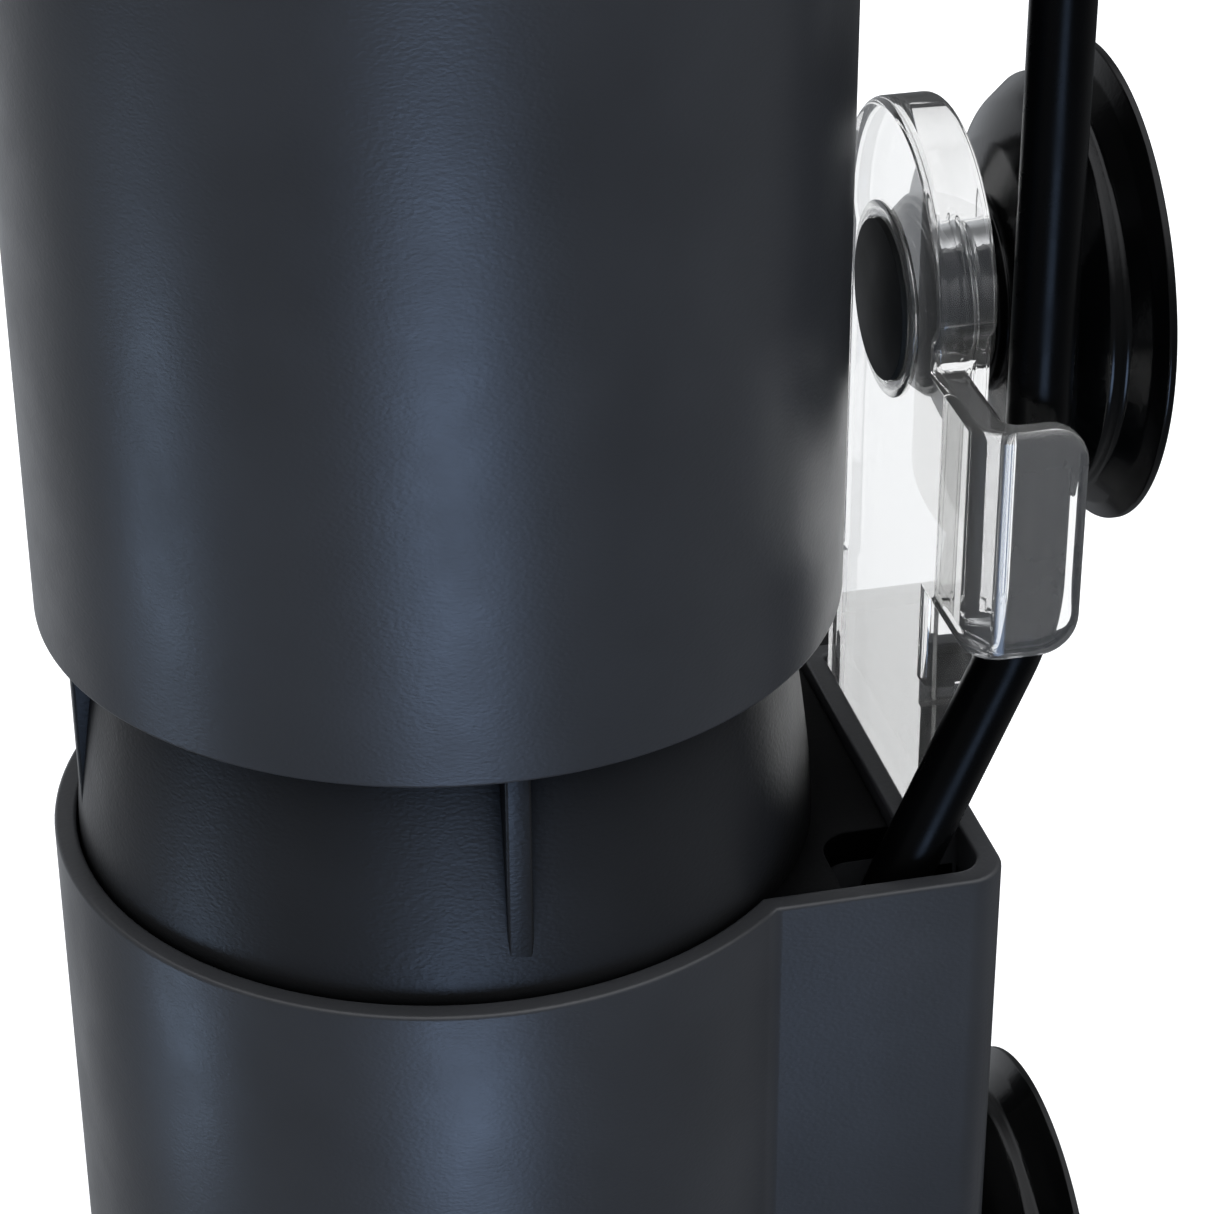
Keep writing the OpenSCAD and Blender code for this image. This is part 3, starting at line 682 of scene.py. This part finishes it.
def make_collar():
    z0, z1, outer = low("outlet_collar").z, high("outlet_collar").z, high("outlet_collar").x
    mid = 189
    section = rounded([
        (INNER_R, z0, 0.3), (outer - 0.4, z0, 0.8), (outer, z0 + 1.6, 0.5), (outer, z0 + 5.2, 0.4),
        (outer, z1 - 5.2, 0.4), (outer, z1 - 1.6, 0.5), (outer - 0.4, z1, 0.8), (INNER_R, z1, 0.3)])
    grips = 72
    loops = []
    for r, z in section:
        depth = 0.45 if abs(z - mid) < 5.4 and r > outer - 0.3 else 0.0
        loops.append([about_z(r - depth * (0.5 + 0.5 * math.cos(grips * TAU * i / 576)), TAU * i / 576, z)
                      for i in range(576)])
    ring = skin("collar", loops, ring=True)
    spout_profile = rounded([
        (0, 31, 0), (7.6, 31, 0), (7.6, 35, 0.4), (6.5, 35, 0.3), (6.5, 41.2, 0.3), (6.3, 42.2, 0.2),
        (6.5, 43.4, 0.3),
        (6.5, 45, 0.5), (0, 45, 0)], 4)
    spout = lathe("spout", spout_profile, 96, lambda r, a, y: (r * math.cos(a), -y, mid + r * math.sin(a)))
    bore = lathe("bore", [(0, 20), (4.8, 20), (4.8, 44.4), (5.3, 45.2), (0, 46)], 96,
                 lambda r, a, y: (r * math.cos(a), -y, mid + r * math.sin(a)))
    whole = combined("collar", ring, [spout], "UNION")
    whole = combined("collar", whole, [bore], "DIFFERENCE")
    place("collar", whole, "dial_plastic", "collar", "outlet_collar", "outlet_spout", sharp=38)


make_collar()

# ---------------------------------------------------------------- head


def make_head():
    base = 3.0
    inner = hole_in(head_outline(0), 19)
    loops = [at_level(inner, HEAD_Z)]
    loops += [at_level(head_outline(m), HEAD_Z + base - rise) for m, rise in reversed(rounding(base, 6))]
    loops += [at_level(head_outline(0), LID_Z - 0.5), at_level(head_outline(0.25), LID_Z - 0.2)]
    loops += [at_level(head_outline(0.25), LID_Z)]
    loops += [at_level(head_outline(2.2), LID_Z), at_level(head_outline(2.2), HEAD_Z + 2.5)]
    loops += [at_level(inner, HEAD_Z + 2.5)]
    shell = skin("head_shell", loops, ring=True)
    lead_hole = lathe("lead_hole", [(0, HEAD_Z - 2), (3.4, HEAD_Z - 2), (3.4, HEAD_Z + 4), (0, HEAD_Z + 4)],
                      48)
    lead_hole.transform(Matrix.Translation((LEAD[0] * MM, LEAD[1] * MM, 0)))
    pocket = eased(block("pocket", (-28.5, 33 - 8.4, 215 - 4.9), (-23, 33 + 8.4, 215 + 4.9)), 0.8)
    shell = combined("head_shell", shell, [lead_hole, pocket], "DIFFERENCE")
    place("head_shell", shell, "body_plastic", "unit", "head_housing", sharp=40)


make_head()


def make_lid():
    edge = 1.6
    lid_top = LID_Z + 2.6
    inner = hole_in(head_outline(0), 16)
    loops = [at_level(inner, LID_Z), at_level(head_outline(0.25), LID_Z),
             at_level(head_outline(0), LID_Z + 0.25)]
    loops += [at_level(head_outline(m), lid_top - edge + rise) for m, rise in rounding(edge)]
    loops += [at_level(inner, lid_top)]
    lid = skin("lid", loops, ring=True)
    holes = []
    for side in (-1, 1):
        hole = lathe("hole", [(0, LID_Z - 2), (5.15, LID_Z - 2), (5.15, lid_top - 0.2), (5.5, lid_top + 0.2),
                              (5.5, lid_top + 2), (0, lid_top + 2)], 64)
        hole.transform(Matrix.Translation((side * BUTTON_X * MM, BUTTON_Y * MM, 0)))
        holes.append(hole)
    for x, y in ((-30.4, 0), (30.4, 0), (0, -30.4), (0, 46.2)):
        hole = lathe("hole", [(0, LID_Z - 2), (1.3, LID_Z - 2), (1.3, LID_Z + 0.9), (2.6, LID_Z + 0.9),
                              (2.6, lid_top + 2), (0, lid_top + 2)], 40)
        hole.transform(Matrix.Translation((x * MM, y * MM, 0)))
        holes.append(hole)
    lid = combined("lid", lid, holes, "DIFFERENCE")
    smooth_normals(place("lid", lid, "cover_plastic", "unit", "head_lid", sharp=40))
    rim = high("head_lid").z
    spigot = lathe("spigot",
                   rounded([(15.6, lid_top - 1, 0), (18, lid_top - 1, 0), (18, rim, 0.5), (15.6, rim, 0.4)]))
    place("spigot", spigot, "cover_plastic", "unit")


make_lid()


def make_dial():
    z0, z1, outer = low("control_dial").z, high("control_dial").z, high("control_dial").x
    sides = 720
    section = rounded([
        (18.1, z0, 0.2), (outer, z0, 0.4), (outer, z0 + 1.2, 0.2), (outer, z1 - 2.2, 0.4),
        (outer - 1.2, z1, 1.0),
        (20.4, z1 - 0.25, 0.6), (18.1, z1 - 1.2, 0.3)])
    loops = []
    for r, z in section:
        ridge = 0.55 if r > outer - 0.6 and z0 + 1.1 < z < z1 - 1.5 else 0.0
        loops.append([about_z(r - ridge * (0.5 + 0.5 * math.cos(60 * TAU * i / sides)) ** 2,
                              TAU * i / sides, z)
                      for i in range(sides)])
    dial = skin("dial", loops, ring=True)
    mark = eased(block("mark", (-0.45, -24.6, z1 - 0.5), (0.45, -21.2, z1 + 0.6)), 0.1)
    dial = combined("dial", dial, [mark], "DIFFERENCE")
    place("dial", dial, "dial_plastic", "dial", "control_dial", sharp=40)


make_dial()


def make_buttons():
    for side, node, body in ((-1, "power_button", "power_key"), (1, "timer_button", "timer_key")):
        z0, z1 = low(node).z, high(node).z
        profile = rounded([
            (0, z0, 0), (1.6, z0, 0.2), (1.6, z0 + 2.6, 0), (6, z0 + 2.6, 0.2), (6, z0 + 4.1, 0.2),
            (5, z0 + 4.1, 0),
            (5, z1, 0.5), (3.6, z1 - 0.1, 0.6), (2.2, z1 - 0.35, 0.8), (0, z1 - 0.4, 0)], 4)
        mesh = lathe(node + "_cap", profile, 96)
        mesh.transform(Matrix.Translation((side * BUTTON_X * MM, BUTTON_Y * MM, 0)))
        place(node + "_cap", mesh, "button_metal", body, node, sharp=40)


make_buttons()

# ---------------------------------------------------------------- bracket, cups, stem button


def make_bracket():
    """Clear plate in one piece: round-headed neck with the lead's clip, and railed foot in the slot."""
    y0, y1 = PLATE_Y, PLATE_BACK
    foot_z = low("bracket_plate").z
    clip_z = foot_z + 94
    w, disc_r, disc_z = 12.2, 13.2, 135
    clip_top = clip_z + 19.5
    head = [(disc_r * math.cos(a),
             disc_z + disc_r * math.sin(a)) for a in (math.pi * k / 72 for k in range(73))]
    joint = clip_z - 9
    neck = prism("neck", [(w, joint), (w, disc_z - 1.3), *head, (-w, disc_z - 1.3), (-w, joint)], y0, y1,
                 up=1)
    out_x, arm_t, wall_t, end_y, bend = 23.8, 2.8, 2.2, 45.2, 3.0
    arm = prism("arm", rounded([
        (w - 4, y0, 0), (out_x, y0, bend), (out_x, end_y, 0), (out_x - wall_t, end_y, 0),
        (out_x - wall_t, y0 + arm_t, 1.0), (w - 4, y0 + arm_t, 0)], 8), clip_z, clip_top)
    keep = prism("keep", rounded([
        (0, clip_z, 0), (end_y, clip_z, 3.2), (end_y, clip_top, 3.2), (0, clip_top, 0)], 10), -30, 30, up=0)
    arm = combined("arm", arm, [keep], "INTERSECT")
    hole = lathe("hole", [(0, 30), (6.7, 30), (6.7, y0 + 2.1), (4.6, y0 + 2.1), (4.6, 50), (0, 50)], 96,
                 about_y(CUP_HIGH_Z))
    upper = combined("bracket", neck, [arm], "UNION")
    upper = eased(combined("bracket", upper, [hole], "DIFFERENCE"), 0.75, 5, 32, clamp=False)

    rail_w, rail_top, rail_back, spine_w = 12.8, 102, 39.4, 11.6
    foot_top = joint + 1.2
    foot = prism("foot", [(w, foot_z), (w, foot_top), (-w, foot_top), (-w, foot_z)], y0, rail_back, up=1)
    rails = prism("rails", [(rail_w, foot_z), (rail_w, rail_top), (-rail_w, rail_top), (-rail_w, foot_z)],
                  y0, rail_back, up=1)
    spine_outline = [(spine_w, foot_z), (spine_w, foot_top), (-spine_w, foot_top), (-spine_w, foot_z)]
    spine = prism("spine", spine_outline, y0 + 1, y1, up=1)
    hole = lathe("hole", [(0, 30), (6.6, 30), (6.6, y0 + 1.8), (4.6, y0 + 1.8), (4.6, 50), (0, 50)], 64,
                 about_y(CUP_LOW_Z))
    lower = combined("bracket_foot", foot, [rails, spine], "UNION")
    lower = eased(combined("bracket_foot", lower, [hole], "DIFFERENCE"), 0.25, 3, 32)
    whole = combined("bracket", upper, [lower], "UNION")
    smooth_normals(place("bracket", whole, "clear_plastic", "unit", "bracket_plate", sharp=40))


make_bracket()


def make_cups():
    back = PLATE_BACK + 0.4
    for node, z in (("cup_upper", CUP_HIGH_Z), ("cup_lower", CUP_LOW_Z)):
        stem = low(node).y
        profile = rounded([
            (0, stem, 0), (4.5, stem, 0.2), (4.5, back, 0.2), (7.2, back, 0.6), (8.2, back + 1.2, 0.8),
            (7.8, back + 2.6, 0.5), (11.9, back + 3.6, 2.2), (15, back + 5.3, 3),
            (CUP_R - 2.5, WALL_Y - 4.1, 0.7),
            (CUP_R - 2.8, WALL_Y - 2.9, 0.6), (CUP_R - 1.4, WALL_Y - 1.4, 1.2), (CUP_R, WALL_Y - 0.6, 0.25),
            (CUP_R, WALL_Y, 0.15), (CUP_R - 0.8, WALL_Y, 0.2), (15.6, WALL_Y - 1.5, 3), (10, WALL_Y - 3.5, 4),
            (0, WALL_Y - 4.6, 0)], 6)
        place(node + "_rubber", lathe(node + "_rubber", profile, 220, about_y(z)), "cup_rubber", "unit",
              node, sharp=50)


make_cups()


def make_stem():
    """Push button of the upper cup: clear flange, dark cap and grey core in the plate's counterbore."""
    face, seat = low("stem_button").y, PLATE_Y + 2.1
    flange = lathe("stem_flange", rounded([
        (6.5, FLANGE_Y + 0.22, 0.05), (7.2, FLANGE_Y + 0.18, 0.1), (7.85, FLANGE_Y + 0.25, 0.1),
        (7.8, PLATE_Y - 0.01, 0.03),
        (6.5, PLATE_Y - 0.01, 0.03)], 4), 160, about_y(CUP_HIGH_Z))
    place("stem_flange", flange, "clear_plastic", "unit", "stem_collar", sharp=40)
    core = lathe("stem_core", rounded([
        (0, PLATE_Y, 0), (6.55, PLATE_Y, 0.1), (6.55, seat - 0.05, 0.15), (0, seat - 0.05, 0)], 3), 128,
        about_y(CUP_HIGH_Z))
    place("stem_core", core, "core_plastic", "unit", slot="stem_plastic")
    cap = lathe("stem_cap", rounded([
        (0, face, 0), (6.42, face, 0.06), (6.42, PLATE_Y, 0.05),
        (0, PLATE_Y, 0)], 3), 128, about_y(CUP_HIGH_Z))
    place("stem_cap", cap, "stem_plastic", "unit", "stem_button", sharp=40)


make_stem()

# ---------------------------------------------------------------- motor lead and glands


def lead_path():
    """Centre line of the lead from the head down through the clip and into the deck, in millimetres."""
    bend_r, bend_z, slant, straight = 20, 116.5, math.radians(23), 33
    x, y = LEAD
    points = [(x, y, HEAD_Z + 4 - (HEAD_Z + 4 - bend_z) * k / 16) for k in range(16)]
    points += [(x, y - bend_r + bend_r * math.cos(slant * k / 12), bend_z - bend_r * math.sin(slant * k / 12))
               for k in range(13)]
    _, y1, z1 = points[-1]
    points += [(x, y1 - straight * math.sin(slant) * k / 6, z1 - straight * math.cos(slant) * k / 6)
               for k in range(1, 7)]
    return points


def tube(name, path, radius, sides=48):
    """Round tube along a path in a plane of constant x; radius may follow the point's number."""
    loops = []
    for i, p in enumerate(path):
        a, b = Vector(path[max(i - 1, 0)]), Vector(path[min(i + 1, len(path) - 1)])
        along = (b - a).normalized()
        across = Vector((1, 0, 0))
        out = across.cross(along)
        r = radius(i) if callable(radius) else radius
        loops.append([Vector(p) + r * (across * math.cos(t) + out * math.sin(t))
                      for t in (TAU * k / sides for k in range(sides))])
    return skin(name, loops, caps=(True, True))


def make_lead():
    place("lead", tube("lead", lead_path(), 2.45), "lead_jacket", "unit", "motor_lead", sharp=50)
    x, y = LEAD
    rings = []
    for k in range(6):
        z = HEAD_Z - 14 + k * 2.2
        r = 3.15 + 0.2 * k
        rings += [(r, z, 0.3), (r, z + 1.3, 0.3), (r - 0.55, z + 1.3, 0.1), (r - 0.55, z + 2.2, 0.1)]
    section = rounded([(2.46, HEAD_Z - 14, 0.1), *rings, (4.3, HEAD_Z - 1, 0), (5, HEAD_Z - 1, 0.3),
                       (5, HEAD_Z, 0),
                       (3.4, HEAD_Z, 0), (3.4, HEAD_Z + 2.5, 0), (2.46, HEAD_Z + 2.5, 0)], 3)
    relief = lathe("strain_relief", section, 96)
    relief.transform(Matrix.Translation((x * MM, y * MM, 0)))
    place("strain_relief", relief, "gland_rubber", "unit", "head_gland", sharp=40)


make_lead()

# ---------------------------------------------------------------- CAD nodes that keep their own mesh

slots = {s["node"]: s["material_slot"] for s in frame["record"]["subparts"]}
for node_name, node in frame["nodes"].items():
    node.data.materials.clear()
    node.data.materials.append(MATERIALS[slots[node_name]])

# ---------------------------------------------------------------- floor, light


def make_stage():
    """White floor hidden from diffuse, glossy and shadow rays, so that dark walls mirror only the room."""
    mesh = bpy.data.meshes.new("floor")
    half = 6.0
    mesh.from_pydata([(-half, -half, 0), (half, -half, 0), (half, half, 0), (-half, half, 0)], [],
                     [(0, 1, 2, 3)])
    floor = bpy.data.objects.new("floor", mesh)
    bpy.context.scene.collection.objects.link(floor)
    s = Shader("floor", (0.9, 0.9, 0.9), 0.9, Specular_IOR_Level=0.1, Emission_Strength=0.55)
    s.shades(s.noise(0.01, 2, 0.5), (0.89, 0.89, 0.89), (0.92, 0.92, 0.92))
    s.bsdf.inputs["Emission Color"].default_value = (1, 1, 1, 1)
    mesh.materials.append(s.material)
    floor.visible_diffuse = False
    floor.visible_glossy = False
    floor.visible_shadow = False


# Soft panels around the object: heading (degrees from +X towards +Y), elevation, inner and outer half angle,
# colour. A negative colour darkens the room in that direction and stands for no real lamp.
PANELS = (
    (-7, -30, 3, 16, (2.9, 4.1, 6.4)),
    (-92, -30, 2, 9, (2.6, 3.6, 5.2)),
    (-160, -12, 12, 40, (0.5, 0.52, 0.55)),
    (150, -25, 10, 50, (-0.13, -0.13, -0.135)),
    (27, -33, 6, 45, (-0.09, -0.09, -0.09)),
    (30, 78, 15, 65, (1.5, 1.52, 1.58)),
)
ROOM = (0.21, 0.215, 0.225)


def make_world():
    """Room whose light depends on direction: a grey base plus the soft panels, some of them negative."""
    world = bpy.data.worlds.new("world")
    bpy.context.scene.world = world
    world.use_nodes = True
    tree = world.node_tree
    direction = tree.nodes.new("ShaderNodeTexCoord").outputs["Generated"]
    total = None
    for heading, elevation, inner, outer, color in PANELS:
        h, e = math.radians(heading), math.radians(elevation)
        facing = tree.nodes.new("ShaderNodeVectorMath")
        facing.operation = "DOT_PRODUCT"
        tree.links.new(direction, facing.inputs[0])
        facing.inputs[1].default_value = (math.cos(h) * math.cos(e), math.sin(h) * math.cos(e), math.sin(e))
        soft = tree.nodes.new("ShaderNodeMapRange")
        soft.interpolation_type = "SMOOTHSTEP"
        soft.inputs["From Min"].default_value = math.cos(math.radians(outer))
        soft.inputs["From Max"].default_value = math.cos(math.radians(inner))
        tree.links.new(facing.outputs["Value"], soft.inputs["Value"])
        tint = tree.nodes.new("ShaderNodeVectorMath")
        tint.operation = "MULTIPLY_ADD"
        tint.inputs[0].default_value = color
        tree.links.new(soft.outputs["Result"], tint.inputs[1])
        if total is None:
            tint.inputs[2].default_value = ROOM
        else:
            tree.links.new(total, tint.inputs[2])
        total = tint.outputs["Vector"]
    tree.links.new(total, tree.nodes["Background"].inputs["Color"])


make_stage()
make_world()
bpy.context.scene.view_settings.view_transform = "Standard"
